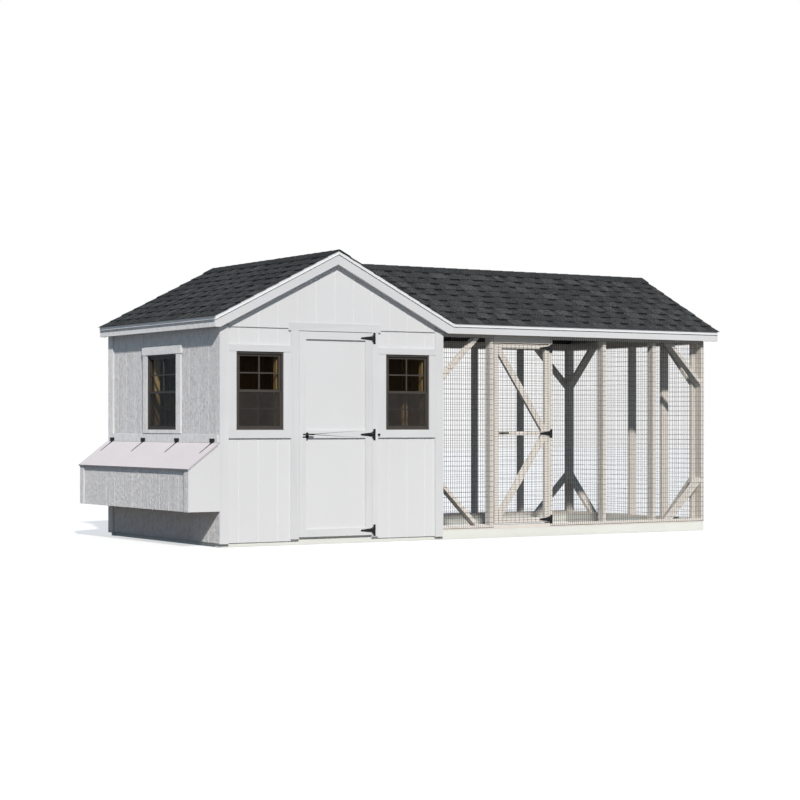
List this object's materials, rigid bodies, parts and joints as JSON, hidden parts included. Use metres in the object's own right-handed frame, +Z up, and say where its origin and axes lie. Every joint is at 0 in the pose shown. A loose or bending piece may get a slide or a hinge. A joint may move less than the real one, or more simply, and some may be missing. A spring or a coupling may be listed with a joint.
{
  "type": "chicken coop",
  "caption": "Walk-in hen house with a gabled shingle roof, side nest box with a hinged lid, sash windows and a plank door, joined to a long roofed wire run with a framed wire door.",
  "frame": {"origin": "on the ground below the middle of the whole footprint, from nest lid edge to the run's roof edge", "axes": "+X along the front from the nest box to the run, +Y from the door side to the back, +Z up"},
  "size_m": [6.246, 2.618, 2.7774],
  "materials": {
    "treated_lumber": "pale weathered",
    "framing_lumber": "bare softwood",
    "plywood": "bare plywood",
    "white_siding": "painted, fine wood grain",
    "white_trim": "painted",
    "lid_panel": "painted smooth",
    "cream_lumber": "whitewashed",
    "asphalt_shingles": "mineral granules",
    "white_metal": "satin",
    "black_wire": "vinyl coated",
    "bronze_frame": "dark bronze",
    "window_glass": "clear",
    "insect_screen": "woven",
    "black_hardware": "matte black"
  },
  "bodies": {
    "coop": {"skids": "treated_lumber", "floor_joists": "framing_lumber", "floor_deck": "plywood", "wall_studs": "framing_lumber", "wall_plates": "framing_lumber", "front_siding": "white_siding", "left_siding": "white_siding", "back_siding": "white_siding", "partition_siding": "white_siding", "gable_backing": "plywood", "gable_siding": "white_siding", "corner_boards": "white_trim", "door_casing": "white_trim", "window_casings": "white_trim", "nest_band_board": "white_trim", "house_rafters": "framing_lumber", "run_rafters": "framing_lumber", "ridge_boards": "framing_lumber", "roof_blocking": "framing_lumber", "roof_deck": "plywood", "rake_soffits": "white_trim", "house_shingles": "asphalt_shingles", "run_shingles": "asphalt_shingles", "ridge_caps": "asphalt_shingles", "drip_edge": "white_metal", "rake_boards": "white_trim", "fascia_boards": "white_trim", "run_posts": "cream_lumber", "run_plates": "cream_lumber", "run_braces": "cream_lumber", "run_mesh_front": "black_wire", "run_mesh_sides": "black_wire", "window_frames": "bronze_frame", "upper_glass": "window_glass", "screen_mesh": "insect_screen", "fixed_hardware": "black_hardware", "nest_hinge_plates": "black_hardware", "nest_front": "white_siding", "nest_sides": "white_siding", "nest_cell_boards": "plywood", "roosts": "framing_lumber", "pop_door_tracks": "white_trim"},
    "people_door": {"people_door_panel": "white_siding", "people_door_trim": "white_trim", "people_door_straps": "black_hardware"},
    "people_door_latch": {"people_door_handle": "black_hardware"},
    "run_door": {"run_door_frame": "cream_lumber", "run_door_mesh": "black_wire", "run_door_straps": "black_hardware"},
    "run_door_latch": {"run_door_handle": "black_hardware"},
    "nest_lid": {"nest_lid": "lid_panel", "nest_lid_straps": "black_hardware"},
    "sash_front_left": {"sash_front_left": "bronze_frame", "glass_front_left": "window_glass"},
    "sash_front_right": {"sash_front_right": "bronze_frame", "glass_front_right": "window_glass"},
    "sash_side": {"sash_side": "bronze_frame", "glass_side": "window_glass"},
    "pop_door": {"pop_door": "white_siding"}
  },
  "joints": [
    {"name": "people_door_swing", "type": "hinge", "parent": "coop", "child": "people_door", "pos_m": [-1.162, -1.245, 1.03], "axis": [0, 0, 1], "range_deg": [0, 150]},
    {"name": "people_door_latch_turn", "type": "hinge", "parent": "people_door", "child": "people_door_latch", "pos_m": [-1.878, -1.238, 1.033], "axis": [0, 1, 0], "range_deg": [-90, 0]},
    {"name": "run_door_swing", "type": "hinge", "parent": "coop", "child": "run_door", "pos_m": [0.953, -1.2194, 1.038], "axis": [0, 0, 1], "range_deg": [0, 150]},
    {"name": "run_door_latch_turn", "type": "hinge", "parent": "run_door", "child": "run_door_latch", "pos_m": [0.366, -1.207, 1.042], "axis": [0, 1, 0], "range_deg": [-90, 0]},
    {"name": "nest_lid_swing", "type": "hinge", "parent": "coop", "child": "nest_lid", "pos_m": [-2.816, 0, 0.96037], "axis": [0, 1, 0], "range_deg": [0, 105]},
    {"name": "sash_front_left_slide", "type": "slide", "parent": "coop", "child": "sash_front_left", "axis": [0, 0, 1], "range_m": [0, 0.3]},
    {"name": "sash_front_right_slide", "type": "slide", "parent": "coop", "child": "sash_front_right", "axis": [0, 0, 1], "range_m": [0, 0.3]},
    {"name": "sash_side_slide", "type": "slide", "parent": "coop", "child": "sash_side", "axis": [0, 0, 1], "range_m": [0, 0.3]},
    {"name": "pop_door_slide", "type": "slide", "parent": "coop", "child": "pop_door", "axis": [0, 0, 1], "range_m": [0, 0.35]}
  ]
}
